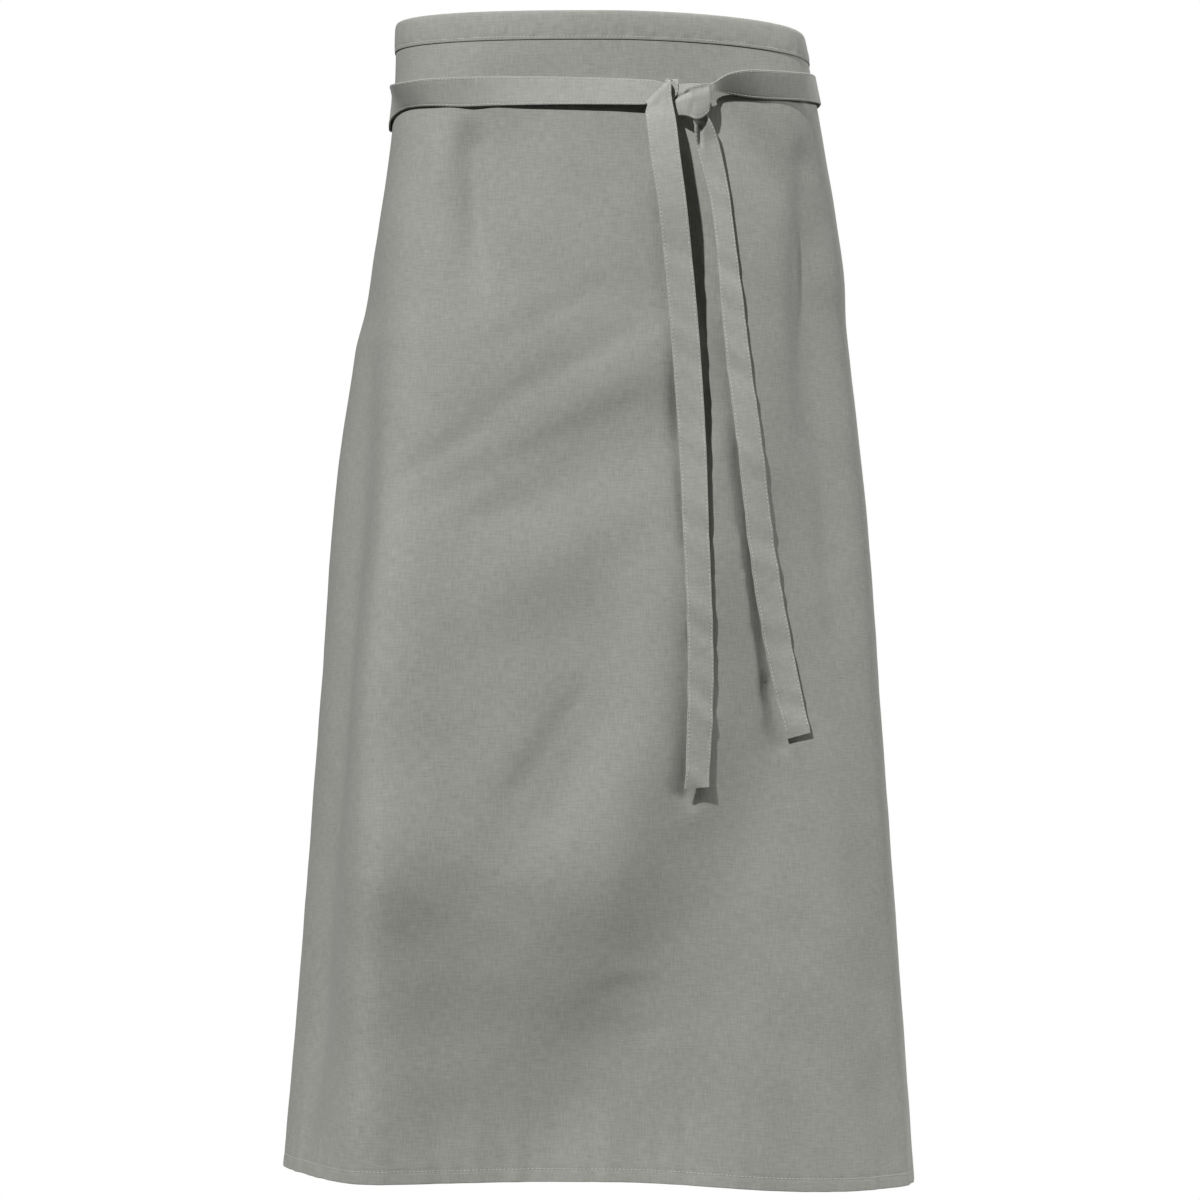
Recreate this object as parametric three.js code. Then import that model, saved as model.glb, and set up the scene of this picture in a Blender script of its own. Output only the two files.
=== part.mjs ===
// A waiter's apron as it is worn: a straight cloth panel under a waistband, wrapped round the waist and open
// at the back, with two ties that cross behind, come round to the front and meet there in a half knot.
// Millimetres, +Z up, the front faces -Y, and the origin is the middle of the waist at the band's top edge.
// "Drop" is a distance below that edge, "out" a distance off the cloth, and left and right are the viewer's.
import * as THREE from "three";

// Driving dimensions
const CUT_WIDTH = 800; // panel, side edge to side edge
const LENGTH = 1000; // waistband's top edge to the bottom of the hem
const CLOTH_WALL = 1; // one layer of cloth
const SEAM_GAP = 0.3; // clearance between pieces that are sewn together
const BAND_HEIGHT = 25;
const BAND_FOLD = 1.5; // cloth over the panel's top edge, inside the folded band
const BAND_OVERRUN = 12; // waistband past the panel's side edge, where a tie is sewn in
const HEM_HEIGHT = 15; // bottom hem, turned to the inside
const SIDE_HEM = 10; // side hems, turned to the inside
const HEM_STEP = 0.5; // length over which a hem's second layer begins
const TIE_WIDTH = 25;
const TIE_WALL = 1;
// How much lower the right side hangs at the waist and hem, and the left hem, in full from the reach on
const SAG = { waist: 12, hem: 13, leftHem: 2, reach: 300 };
const FULLNESS = 2.6; // of the worn form's sections: 2 is an ellipse, more is squarer
const FOLD_FREE = { start: 25, end: 120 }; // drops between which the folds grow from nothing

// Fineness of the solids
const PANEL_COLUMN = 17;
const PANEL_ROW = 30;
const TIE_STEPS = 2; // sections from one row of a tie's table to the next
const TIE_ACROSS = 3;
const ROUND_STEP = 7; // degrees, from one rung of a tie to the next round the waist
const ARC_STEP = 2; // degrees, when a section's girth is measured
const HALVINGS = 30; // when the cloth behind a point of the front is looked for

const CLOTH_COLOUR = 0x92938d;
const CLOTH_ROUGHNESS = 0.85;

// Reads a table: a list of rows whose numbers belong to the named columns.
function table(columns, rows) {
  return rows.map((row) => Object.fromEntries(columns.map((name, i) => [name, row[i]])));
}

// The worn form, section by section: half widths to the left and right, and depths to the front and back.
const SECTIONS = table(
  ["drop", "left", "right", "front", "back"],
  [
    [0, 178, 178, 118, 118],
    [90, 182.3, 195.8, 122, 120],
    [196, 199.3, 213.2, 128, 124],
    [249, 208.4, 216.4, 130, 125],
    [284, 217.1, 219.8, 131, 126],
    [415, 235.8, 234.2, 133, 126],
    [591, 247.6, 246.4, 134, 125],
    [767, 260.1, 259, 133, 122],
    [1000, 278.3, 274.7, 132, 118],
  ],
);

// The drape: soft ridges (height above 0) and hollows along straight lines on the cloth.
// "across" runs along the cloth from the front's middle, to the right; "spread" is the fold's half width,
// and "fade" the length over which it dies away past its ends.
const FOLDS = table(
  ["across1", "drop1", "across2", "drop2", "spread", "fade", "height"],
  [
    [-44, 113, -56, 284, 44, 139, -3.4], // flattened under the waist
    [-80, 98, -100, 188, 24, 64, -4.2],
    [-111, 100, -115, 168, 11, 40, -4.2], // pinch under the tie, left
    [51, 296, -81, 383, 23, 39, 5], // drag lines across the front
    [-27, 372, -147, 415, 35, 42, -7],
    [-71, 487, 44, 409, 21, 62, 2.5],
    [-120, 569, 61, 536, 48, 51, -4.2],
    [122, 92, 150, 128, 16, 26, -3.6], // dip under the tie, right
    [206, 210, 229, 377, 28, 48, -8.3], // upper right side
    [197, 228, 222, 458, 25, 89, -6.6],
    [182, 351, 135, 687, 29, 136, -6.7],
    [-173, 517, -182, 930, 31, 100, 14], // flute down the left front
    [-191, 608, -199, 930, 25, 80, 11.2],
    [-241, 371, -283, 880, 33, 113, -12], // hollow down the left side
    [-250, 467, -287, 880, 34, 120, -12],
    [66, 528, 30, 697, 36, 106, 16.8], // long swell down the right front
    [-129, 628, -152, 729, 68, 72, 11.8], // broad swell low on the left front
    [-148, 720, -52, 753, 43, 34, 9.8],
    [-12, 623, -56, 684, 19, 45, -3.1], // crease between the swells
    [109, 698, -22, 922, 34, 109, -9], // hollows beside and under the swells
    [148, 789, 45, 963, 42, 35, -4.5],
    [-60, 925, 2, 1000, 74, 60, -11.8],
    [-164, 825, -20, 832, 26, 58, 2], // soft ridges near the hem
    [-129, 905, -48, 910, 27, 56, 2.5],
    [163, 839, 144, 1000, 48, 74, 9.1], // flute down the right front
    [173, 467, 237, 1000, 39, 56, -5.2], // hollows down the right side
    [228, 478, 270, 1000, 22, 56, -7],
    [-374, 640, -380, 1000, 22, 90, 5], // side edges, turned out
    [374, 640, 380, 1000, 22, 90, 5],
  ],
);

// The ties round the waist, by the angle from the front's middle: centre drop, and distance outside the cloth
// of the upper and the lower edge. Each starts inside one end of the band and crosses the back to the other
// side, the left tie turning from right to left there and the right tie the other way.
const ROUND_COLUMNS = ["angle", "drop", "outUpper", "outLower"];
const LEFT_TIE_ROUND = table(ROUND_COLUMNS, [
  [151.8, 26.6, -1, -1],
  [156, 26.6, -1, -1],
  [162, 26.6, -0.6, -0.6],
  [168, 26.4, 1.6, 1.6],
  [173, 28, 2.3, 2.3],
  [180, 31.5, 2.5, 2.5],
  [190, 38.5, 2.3, 2.3],
  [200, 44.5, 1.6, 1.6],
  [225, 59.5, 1.5, 1.5],
  [248, 73, 1.7, 1.7],
  [264, 78.5, 1.2, 2.6],
  [276, 75, 1.3, 2.4],
  [284, 71.6, 2.4, 1.6],
  [291, 69.6, 7.4, 1],
  [298, 68.6, 14, 1],
  [306, 68, 14.4, 1.1],
  [314, 67.9, 11, 1.1],
]);
const RIGHT_TIE_ROUND = table(ROUND_COLUMNS, [
  [151.8, 14.6, -0.5, -0.5],
  [156, 14.6, -0.5, -0.5],
  [163, 14.6, -0.5, -0.5],
  [171, 20.5, -0.5, -0.5],
  [180, 31, -0.6, -0.6],
  [188, 43.5, -0.6, -0.6],
  [192, 51, -0.6, -0.6],
  [198, 55.5, 1.3, 1.3],
  [215, 56.5, 1.6, 1.6],
  [245, 57, 1.3, 1.3],
  [270, 57, 1.1, 1.1],
  [290, 59, 1.8, 1.3],
  [302, 60.5, 8.4, 1.5],
]);

// The ties in front, rung by rung: place, drop and distance in front of the cloth of the edge that starts as
// the upper one and of the other, and how far the middle of the tie bows out between them.
const FRONT_COLUMNS = ["x1", "drop1", "out1", "x2", "drop2", "out2", "bow"];
const LEFT_TIE_FRONT = table(FRONT_COLUMNS, [
  [-118, 56.2, 7.4, -118, 81.1, 1.1, 0], // along the front
  [-92, 56.2, 3.2, -92, 81, 1.4, 0],
  [-40, 57, 1.1, -40, 81.2, 3.8, 0],
  [10, 58.4, 1.5, 10, 81.6, 5.2, 0],
  [38, 59.8, 3.6, 38, 81.8, 6.2, 0],
  [48, 60.8, 4.8, 48, 80.6, 5.2, 0], // gathered into the knot
  [56, 63, 5.2, 56, 77.6, 5.4, 0],
  [63, 64.2, 5.8, 62.6, 75.4, 5.8, 0],
  [69.5, 64.2, 8.2, 66.5, 75.6, 8, 0.5],
  [78.5, 63.6, 11.4, 73, 76, 11, 1],
  [86.4, 64.6, 12, 77, 80.4, 11.6, 1], // turned down behind the other tie
  [89, 74.5, 11.6, 77.6, 87, 11.6, 0],
  [90.4, 88.5, 11.8, 78.4, 94, 11.8, -1],
  [95.8, 98, 11.6, 80, 98.6, 11, -2], // tail, pleated at first
  [101, 112.2, 8, 81.2, 114.6, 8, -3],
  [106, 134, 5.6, 87, 136, 5.6, -1.4],
  [110.6, 159, 4.6, 93.4, 160.6, 4.6, 0],
  [115.4, 197.4, 4.2, 98.8, 199.6, 4.2, 0],
  [122, 247.4, 3.8, 103, 249.4, 3.8, 0.4],
  [128.8, 303.6, 3.6, 108.4, 306.4, 3.6, 0.4],
  [138.6, 371.4, 3.6, 117.2, 375, 3.6, 0.4],
  [147.2, 443.6, 3.4, 125.4, 448, 3.4, 0.4],
  [156, 497.4, 3.4, 133.6, 504, 3.4, 0.4],
  [168.4, 562, 3.2, 146.4, 570.4, 3.2, 0.4],
  [180.4, 616.8, 3.2, 160, 622.4, 3, 0.4],
]);
const RIGHT_TIE_FRONT = table(FRONT_COLUMNS, [
  [140, 49.8, 13, 140, 74, 1.6, 0.4], // along the front, leaning back
  [123.6, 51, 14, 123.6, 73, 2, 0.4],
  [108.4, 55, 13.4, 108.4, 70.8, 4.2, 0.2],
  [98.6, 61, 10.6, 98.6, 69.8, 7.4, 0],
  [93.6, 63.2, 11, 93.4, 78, 10.8, 0.4],
  [91.6, 63.6, 14.4, 91.8, 88.6, 13.8, 1], // across the knot
  [84, 64.6, 15.8, 82.6, 95, 14.6, 1.4],
  [75, 67, 14.6, 75.6, 92.4, 13.8, 1.2],
  [67.4, 74.6, 11.4, 69.4, 91, 10.4, 0.6],
  [62, 79.6, 7.4, 64, 91, 6.4, 0],
  [56, 81, 4.4, 61, 89, 3.6, 0], // under and behind the other tie
  [53, 73.4, 2.4, 62.6, 76.6, 2.4, 0],
  [54, 64, 2.6, 64, 65.4, 2.6, 0],
  [56, 60.6, 5.4, 66, 60.4, 6, 0], // over its upper edge
  [60.6, 60.4, 7.4, 66.4, 62, 8, 0],
  [62.6, 62, 8, 65.6, 73, 8.6, 0],
  [61, 61.6, 8.6, 56, 80, 8.6, 0],
  [60.2, 62.4, 9.2, 40.2, 82.4, 9.2, 0], // folded on the slant
  [58.6, 60.8, 11.6, 38.6, 80.8, 11.6, 0],
  [60.2, 62.4, 14, 40.2, 82.4, 14, 0],
  [60.8, 75, 16, 38.6, 88.6, 16, 0.4], // tail
  [64.4, 95.6, 21, 39.6, 98.2, 20, 0.4],
  [68.2, 128, 25, 43.2, 129.2, 23.4, 0.4],
  [73.2, 165.6, 24.6, 49, 166.8, 23, 0.4],
  [77.2, 204, 20, 53.4, 204.8, 18.8, 0.4],
  [82.8, 262.8, 14, 58.8, 262.8, 13.2, 0.4],
  [87.2, 321.6, 11.4, 63.4, 321.6, 10.8, 0.4],
  [90.4, 380.4, 8.4, 67.4, 380.4, 8, 0.4],
  [92.2, 437.6, 6, 70, 437.6, 5.8, 0.4],
  [94.6, 496.4, 4.4, 72.8, 496.4, 4.4, 0.4],
  [96.4, 554.6, 3.8, 74.4, 554.6, 3.8, 0.4],
  [95.4, 607.4, 4, 73.8, 607.4, 3.8, 0.4],
  [92.2, 662, 5.2, 72, 663.6, 4.8, 0.4],
]);

const ease = (t) => THREE.MathUtils.smoothstep(t, 0, 1);
const radians = THREE.MathUtils.degToRad;

// Smooth value of one column of a table at a place between its rows.
function smoothly(rows, place, at, column) {
  const last = rows.length - 1;
  const slope = (i) => {
    const before = rows[Math.max(0, i - 1)];
    const after = rows[Math.min(last, i + 1)];
    return (after[column] - before[column]) / (after[place] - before[place]);
  };
  const passed = rows.findLastIndex((row) => row[place] <= at);
  const i = THREE.MathUtils.clamp(passed, 0, last - 1);
  const span = rows[i + 1][place] - rows[i][place];
  const t = THREE.MathUtils.clamp((at - rows[i][place]) / span, 0, 1);
  const cubic = new THREE.Vector4(
    2 * t ** 3 - 3 * t ** 2 + 1,
    (t ** 3 - 2 * t ** 2 + t) * span,
    3 * t ** 2 - 2 * t ** 3,
    (t ** 3 - t ** 2) * span,
  );
  return cubic.dot(new THREE.Vector4(rows[i][column], slope(i), rows[i + 1][column], slope(i + 1)));
}

// The section at a drop, with its girth measured from the front's middle to each ARC_STEP, on both sides.
const measured = new Map();
function sectionAt(drop) {
  if (!measured.has(drop)) {
    const section = Object.fromEntries(
      ["left", "right", "front", "back"].map((column) => [column, smoothly(SECTIONS, "drop", drop, column)]),
    );
    section.girth = { 1: [0], [-1]: [0] };
    for (const side of [1, -1])
      for (let angle = ARC_STEP; angle <= 180; angle += ARC_STEP) {
        const from = ringPoint(section, side * (angle - ARC_STEP));
        const to = ringPoint(section, side * angle);
        section.girth[side].push(section.girth[side].at(-1) + Math.hypot(to.x - from.x, to.y - from.y));
      }
    measured.set(drop, section);
  }
  return measured.get(drop);
}

// A section's point at an angle from the front's middle, with its outward direction.
function ringPoint(section, angle) {
  const sin = Math.sin(radians(angle));
  const cos = Math.cos(radians(angle));
  const width = sin > 0 ? section.right : section.left;
  const depth = cos > 0 ? section.front : section.back;
  const reach = (Math.abs(sin) ** FULLNESS + Math.abs(cos) ** FULLNESS) ** (-1 / FULLNESS);
  const steepness = (part) => Math.sign(part) * Math.abs(part) ** (FULLNESS - 1);
  const outward = new THREE.Vector2(steepness(sin) / width, -steepness(cos) / depth).normalize();
  return { x: width * sin * reach, y: -depth * cos * reach, outward };
}

// The angle at which a section has run a given distance across the cloth.
function angleAcross(section, across) {
  const side = across < 0 ? -1 : 1;
  const girth = section.girth[side];
  const reached = Math.min(Math.abs(across), girth.at(-1));
  const i = THREE.MathUtils.clamp(girth.findLastIndex((length) => length <= reached), 0, girth.length - 2);
  return side * ARC_STEP * (i + (reached - girth[i]) / (girth[i + 1] - girth[i]));
}

// How far the folds lift the cloth from the worn form.
function foldHeight(across, drop) {
  const grown = ease((drop - FOLD_FREE.start) / (FOLD_FREE.end - FOLD_FREE.start));
  const height = FOLDS.reduce((sum, fold) => {
    const line = new THREE.Vector2(fold.across2 - fold.across1, fold.drop2 - fold.drop1);
    const length = line.length();
    const here = new THREE.Vector2(across - fold.across1, drop - fold.drop1);
    const along = here.dot(line) / length;
    const aside = here.cross(line) / length / fold.spread;
    const past = (along - THREE.MathUtils.clamp(along, 0, length)) / fold.fade;
    return sum + fold.height * Math.exp(-0.5 * (aside ** 2 + past ** 2));
  }, 0);
  return grown * height;
}

function sagAt(across, drop) {
  const right = THREE.MathUtils.lerp(SAG.waist, SAG.hem, drop / LENGTH) * ease(across / SAG.reach);
  return right + (SAG.leftHem * drop / LENGTH) * ease(-across / SAG.reach);
}

// A point at a place on the draped cloth, at a distance outside it.
function onCloth(across, drop, out) {
  const section = sectionAt(drop);
  const point = ringPoint(section, angleAcross(section, across));
  const lift = foldHeight(across, drop) + out;
  const x = point.x + point.outward.x * lift;
  const y = point.y + point.outward.y * lift;
  return new THREE.Vector3(x, y, -drop - sagAt(across, drop));
}

// A point of the front as the viewer sees it: x across, a drop, and a distance in front of the cloth there.
function inFront(x, drop, out) {
  let low = -SAG.reach;
  let high = SAG.reach;
  for (let i = 0; i < HALVINGS; i++) {
    const middle = (low + high) / 2;
    if (onCloth(middle, drop - sagAt(middle, drop), 0).x < x) low = middle;
    else high = middle;
  }
  const cloth = onCloth(low, drop - sagAt(low, drop), 0);
  return new THREE.Vector3(x, cloth.y - out, -drop);
}

// A point round the waist, at an angle from the front's middle.
function roundWaist(angle, drop, out) {
  const point = ringPoint(sectionAt(drop), angle);
  return new THREE.Vector3(point.x + point.outward.x * out, point.y + point.outward.y * out, -drop);
}

// A closed solid through loops of points. Each loop runs along one face of a strip and back along the other.
function loft(loops) {
  const count = loops[0].length;
  const triangles = [];
  const quad = (a, b, c, d) => triangles.push([a, b, c], [a, c, d]);
  for (let k = 0; k + 1 < loops.length; k++)
    for (let i = 0; i < count; i++) {
      const corner = [i, (i + 1) % count].map((index) => k * count + index);
      quad(corner[0], corner[1], corner[1] + count, corner[0] + count);
    }
  const end = (loops.length - 1) * count;
  for (let i = 0; i + 1 < count / 2; i++) {
    const back = count - 1 - i;
    quad(i + 1, i, back, back - 1);
    quad(end + i, end + i + 1, end + back - 1, end + back);
  }
  const points = loops.flat();
  const volumeUnder = ([a, b, c]) => points[a].dot(points[b].clone().cross(points[c]));
  const volume = triangles.reduce((sum, face) => sum + volumeUnder(face), 0);
  const outward = volume < 0 ? triangles.map((face) => [...face].reverse()) : triangles;
  const geometry = new THREE.BufferGeometry().setFromPoints(points).setIndex(outward.flat());
  geometry.computeVertexNormals();
  return geometry;
}

// Stations from start to end, no further apart than a step.
function stations(start, end, step) {
  const count = Math.ceil((end - start) / step);
  return Array.from({ length: count + 1 }, (_, i) => THREE.MathUtils.lerp(start, end, i / count));
}

// Panel: one wall of cloth from inside the waistband to the hem, two layers thick at the hems.
function panelGeometry() {
  const half = CUT_WIDTH / 2;
  const hemTop = LENGTH - HEM_HEIGHT;
  const columns = [-half, ...stations(SIDE_HEM - half, half - SIDE_HEM, PANEL_COLUMN), half];
  columns.splice(1, 0, SIDE_HEM - half - HEM_STEP);
  columns.splice(-1, 0, half - SIDE_HEM + HEM_STEP);
  const below = BAND_HEIGHT + 2 * HEM_STEP;
  const rows = [BAND_FOLD + SEAM_GAP, ...stations(below, hemTop - HEM_STEP, PANEL_ROW), hemTop, LENGTH];
  const wall = (across, drop) => {
    const hemmed = drop >= hemTop || (drop > below && Math.abs(across) > half - SIDE_HEM);
    return hemmed ? 2 * CLOTH_WALL : CLOTH_WALL;
  };
  const loops = columns.map((across) => [
    ...rows.map((drop) => onCloth(across, drop, 0)),
    ...rows.toReversed().map((drop) => onCloth(across, drop, -wall(across, drop))),
  ]);
  return loft(loops);
}

// Waistband: a strip folded over the panel's top edge, one leaf outside the panel and one inside.
function waistbandGeometry() {
  const half = CUT_WIDTH / 2;
  const outerLeaf = { face: SEAM_GAP + CLOTH_WALL, back: SEAM_GAP };
  const innerLeaf = { face: -2 * CLOTH_WALL - SEAM_GAP, back: -CLOTH_WALL - SEAM_GAP };
  const profile = table(["drop", "out"], [
    [BAND_HEIGHT, outerLeaf.face],
    [0, outerLeaf.face],
    [0, innerLeaf.face],
    [BAND_HEIGHT, innerLeaf.face],
    [BAND_HEIGHT, innerLeaf.back],
    [BAND_FOLD, innerLeaf.back],
    [BAND_FOLD, outerLeaf.back],
    [BAND_HEIGHT, outerLeaf.back],
  ]);
  const middle = stations(SIDE_HEM - half, half - SIDE_HEM, PANEL_COLUMN);
  const columns = [-half - BAND_OVERRUN, -half, ...middle, half, half + BAND_OVERRUN];
  return loft(columns.map((across) => profile.map((point) => onCloth(across, point.drop, point.out))));
}

// Tie: a flat strip through its rungs, each a pair of edge points with a bow between them.
function tieGeometry(round, front, turn) {
  const rungs = tieRungs(round, front, turn);
  const curves = ["a", "b"].map((edge) => new THREE.CatmullRomCurve3(rungs.map((rung) => rung[edge])));
  const count = (rungs.length - 1) * TIE_STEPS;
  const edgesAt = (k) => curves.map((curve) => curve.getPoint(THREE.MathUtils.clamp(k / count, 0, 1)));
  const middleAt = (k) => {
    const [a, b] = edgesAt(k);
    return a.lerp(b, 0.5);
  };
  const loops = [];
  for (let k = 0; k <= count; k++) {
    const [a, b] = edgesAt(k);
    const across = b.clone().sub(a);
    const ahead = middleAt(k + 0.5).sub(middleAt(k - 0.5));
    const normal = ahead.cross(across).normalize().multiplyScalar(-turn);
    const rung = Math.min(Math.floor(k / TIE_STEPS), rungs.length - 2);
    const bow = THREE.MathUtils.lerp(rungs[rung].bow, rungs[rung + 1].bow, k / TIE_STEPS - rung);
    const strip = stations(0, 1, 1 / TIE_ACROSS).map((u) => {
      const rise = bow * 4 * u * (1 - u);
      return a.clone().addScaledVector(across, u).addScaledVector(normal, rise);
    });
    const outside = strip.map((point) => point.clone().addScaledVector(normal, TIE_WALL / 2));
    const inside = strip.map((point) => point.clone().addScaledVector(normal, -TIE_WALL / 2));
    loops.push([...outside, ...inside.reverse()]);
  }
  return loft(loops);
}

// The rungs of one tie, from the waistband's end round the waist and through the knot to the tail's end.
// The turn is 1 for a tie that starts at the right end of the band, and -1 for the other.
function tieRungs(round, front, turn) {
  const roundRungs = stations(round[0].angle, round.at(-1).angle, ROUND_STEP).map((angle) => {
    const here = (column) => smoothly(round, "angle", angle, column);
    const lean = here("outUpper") - here("outLower");
    const height = Math.sqrt(TIE_WIDTH ** 2 - lean ** 2);
    return {
      a: roundWaist(turn * angle, here("drop") - height / 2, here("outUpper")),
      b: roundWaist(turn * angle, here("drop") + height / 2, here("outLower")),
      bow: 0,
    };
  });
  const frontRungs = front.map((row) => ({
    a: inFront(row.x1, row.drop1, row.out1),
    b: inFront(row.x2, row.drop2, row.out2),
    bow: row.bow,
  }));
  return [...roundRungs, ...frontRungs];
}

function piece(name, geometry) {
  const material = new THREE.MeshStandardMaterial({
    color: CLOTH_COLOUR,
    roughness: CLOTH_ROUGHNESS,
    metalness: 0,
  });
  const mesh = new THREE.Mesh(geometry, material);
  mesh.name = name;
  return mesh;
}

const apron = new THREE.Group();
apron.add(
  piece("apron_panel", panelGeometry()),
  piece("waistband", waistbandGeometry()),
  piece("left_tie", tieGeometry(LEFT_TIE_ROUND, LEFT_TIE_FRONT, 1)),
  piece("right_tie", tieGeometry(RIGHT_TIE_ROUND, RIGHT_TIE_FRONT, -1)),
);

export default apron;
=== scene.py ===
# A waiter's apron as it is worn: a long panel of sage grey twill under a folded waistband, wrapped round the
# waist and open at the back, its ties crossed behind and knotted in front with two hanging tails.
# Sizes are in millimetres and turn to metres when a mesh is made. "Across" runs along the cloth from the
# front's middle, "drop" is a distance below the waistband's top edge, "out" a distance off the cloth.
import math

import bpy
import numpy as np
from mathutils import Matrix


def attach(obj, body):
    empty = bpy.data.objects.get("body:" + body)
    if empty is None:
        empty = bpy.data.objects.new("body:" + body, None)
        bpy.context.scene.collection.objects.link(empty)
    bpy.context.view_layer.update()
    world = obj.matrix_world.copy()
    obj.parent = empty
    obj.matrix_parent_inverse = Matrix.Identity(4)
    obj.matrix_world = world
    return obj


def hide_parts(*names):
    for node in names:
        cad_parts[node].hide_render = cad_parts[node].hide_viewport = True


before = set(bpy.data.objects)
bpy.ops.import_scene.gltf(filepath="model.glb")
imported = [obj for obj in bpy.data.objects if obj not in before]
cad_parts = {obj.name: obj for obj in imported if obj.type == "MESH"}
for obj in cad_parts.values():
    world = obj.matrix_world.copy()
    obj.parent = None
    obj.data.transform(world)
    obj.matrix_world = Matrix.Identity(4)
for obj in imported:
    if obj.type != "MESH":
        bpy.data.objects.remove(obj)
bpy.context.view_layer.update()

MM = 0.001

# Sizes of the pieces, the same as the solids'
CUT_WIDTH = 800
LENGTH = 1000
BAND_HEIGHT = 25
BAND_OVERRUN = 12
HEM_HEIGHT = 15
SIDE_HEM = 10
TIE_WIDTH = 25
SAG = {"waist": 12, "hem": 13, "leftHem": 2, "reach": 300}
FULLNESS = 2.6  # of the sections: 2 is an ellipse, more is squarer
FOLD_FREE = {"start": 25, "end": 120}

# Cloth and sewing
CLOTH_WALL = 0.7
LAYER_STEP = 1.5
TIE_WALL = 1.5
STITCH_PITCH = 3.4
STITCH_LENGTH = 2.5
THREAD = 0.65
PANEL_TOP = 3  # drop of the panel's top edge, inside the fold of the waistband
SIDE_BLEND = 4  # width over which the turned hem steps behind the side hem
STITCH_LIFT = 0.1
BAND_STITCH_DROP = 22.6
BAND_STITCH_OUT = 0.9
BAND_STITCH_INSET = 2
HEM_STITCH_RISE = 11
SIDE_STITCH_INSET = 8
SIDE_STITCH_GAP = 4  # below the waistband
TIE_STITCH_INSET = 1.7
TIE_STITCH_SHARE = 0.85  # of half the wall
TIE_STITCH_ROWS = slice(3, -1)  # short of both ends

# Fineness of the meshes
PANEL_COLUMN = 4.2
PANEL_ROW = 4.8
HEM_ROW = 1.1
BAND_COLUMN = 2.2
TURNED_COLUMNS = 4
TURNED_ROWS = 5
FOLD_STEP = 30
TIE_STEPS = 7
ROUND_STEP = 7
HALVINGS = 30
LEAST_GAP = 1e-6
SHARP_ANGLE = 55
BEAD = {"Segments": 6, "Rings": 5, "Radius": 1.0}

# Photograph's frame: a level camera in front of the middle of the apron
CAMERA_DISTANCE = 4000
FRONT_DEPTH = 118
FRAME_WIDTH = 1023.6
CAMERA_DROP = 503.3
SENSOR = 36
SIGHT = 200000
FLOOR_DROP = 1150
FLOOR_RADIUS = 800
FLOOR_STEP = 3


def table(columns, *rows):
    """Named columns of numbers from a list of rows."""
    return dict(zip(columns, np.array(rows, float).T))


# The worn form, section by section: half widths to the left and right, and depths to the front and back
SECTIONS = table(
    ["drop", "left", "right", "front", "back"],
    [0, 178, 178, 118, 118],
    [90, 182.3, 195.8, 122, 120],
    [196, 199.3, 213.2, 128, 124],
    [249, 208.4, 216.4, 130, 125],
    [284, 217.1, 219.8, 131, 126],
    [415, 235.8, 234.2, 133, 126],
    [591, 247.6, 246.4, 134, 125],
    [767, 260.1, 259, 133, 122],
    [1000, 278.3, 274.7, 132, 118],
)

# The drape: soft ridges (height above 0) and hollows along straight lines on the cloth. The spread is a
# fold's half width, and the fade the length over which it dies away past its ends.
FOLD_COLUMNS = ["across1", "drop1", "across2", "drop2", "spread", "fade", "height"]
FOLDS = table(
    FOLD_COLUMNS,
    [-44, 113, -56, 284, 44, 139, -3.4],  # flattened under the waist
    [-80, 98, -100, 188, 24, 64, -4.2],
    [-111, 100, -115, 168, 11, 40, -4.2],  # pinch under the tie, left
    [51, 296, -81, 383, 23, 39, 5],  # drag lines across the front
    [-27, 372, -147, 415, 35, 42, -7],
    [-71, 487, 44, 409, 21, 62, 2.5],
    [-120, 569, 61, 536, 48, 51, -4.2],
    [122, 92, 150, 128, 16, 26, -3.6],  # dip under the tie, right
    [206, 210, 229, 377, 28, 48, -8.3],  # upper right side
    [197, 228, 222, 458, 25, 89, -6.6],
    [182, 351, 135, 687, 29, 136, -6.7],
    [-173, 517, -182, 930, 31, 100, 14],  # flute down the left front
    [-191, 608, -199, 930, 25, 80, 11.2],
    [-241, 371, -283, 880, 33, 113, -12],  # hollow down the left side
    [-250, 467, -287, 880, 34, 120, -12],
    [66, 528, 30, 697, 36, 106, 16.8],  # long swell down the right front
    [-129, 628, -152, 729, 68, 72, 11.8],  # broad swell low on the left front
    [-148, 720, -52, 753, 43, 34, 9.8],
    [-12, 623, -56, 684, 19, 45, -3.1],  # crease between the swells
    [109, 698, -22, 922, 34, 109, -9],  # hollows beside and under the swells
    [148, 789, 45, 963, 42, 35, -4.5],
    [-60, 925, 2, 1000, 74, 60, -11.8],
    [-164, 825, -20, 832, 26, 58, 2],  # soft ridges near the hem
    [-129, 905, -48, 910, 27, 56, 2.5],
    [163, 839, 144, 1000, 48, 74, 9.1],  # flute down the right front
    [173, 467, 237, 1000, 39, 56, -5.2],  # hollows down the right side
    [228, 478, 270, 1000, 22, 56, -7],
    [-374, 640, -380, 1000, 22, 90, 5],  # side edges, turned out
    [374, 640, 380, 1000, 22, 90, 5],
)

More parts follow.
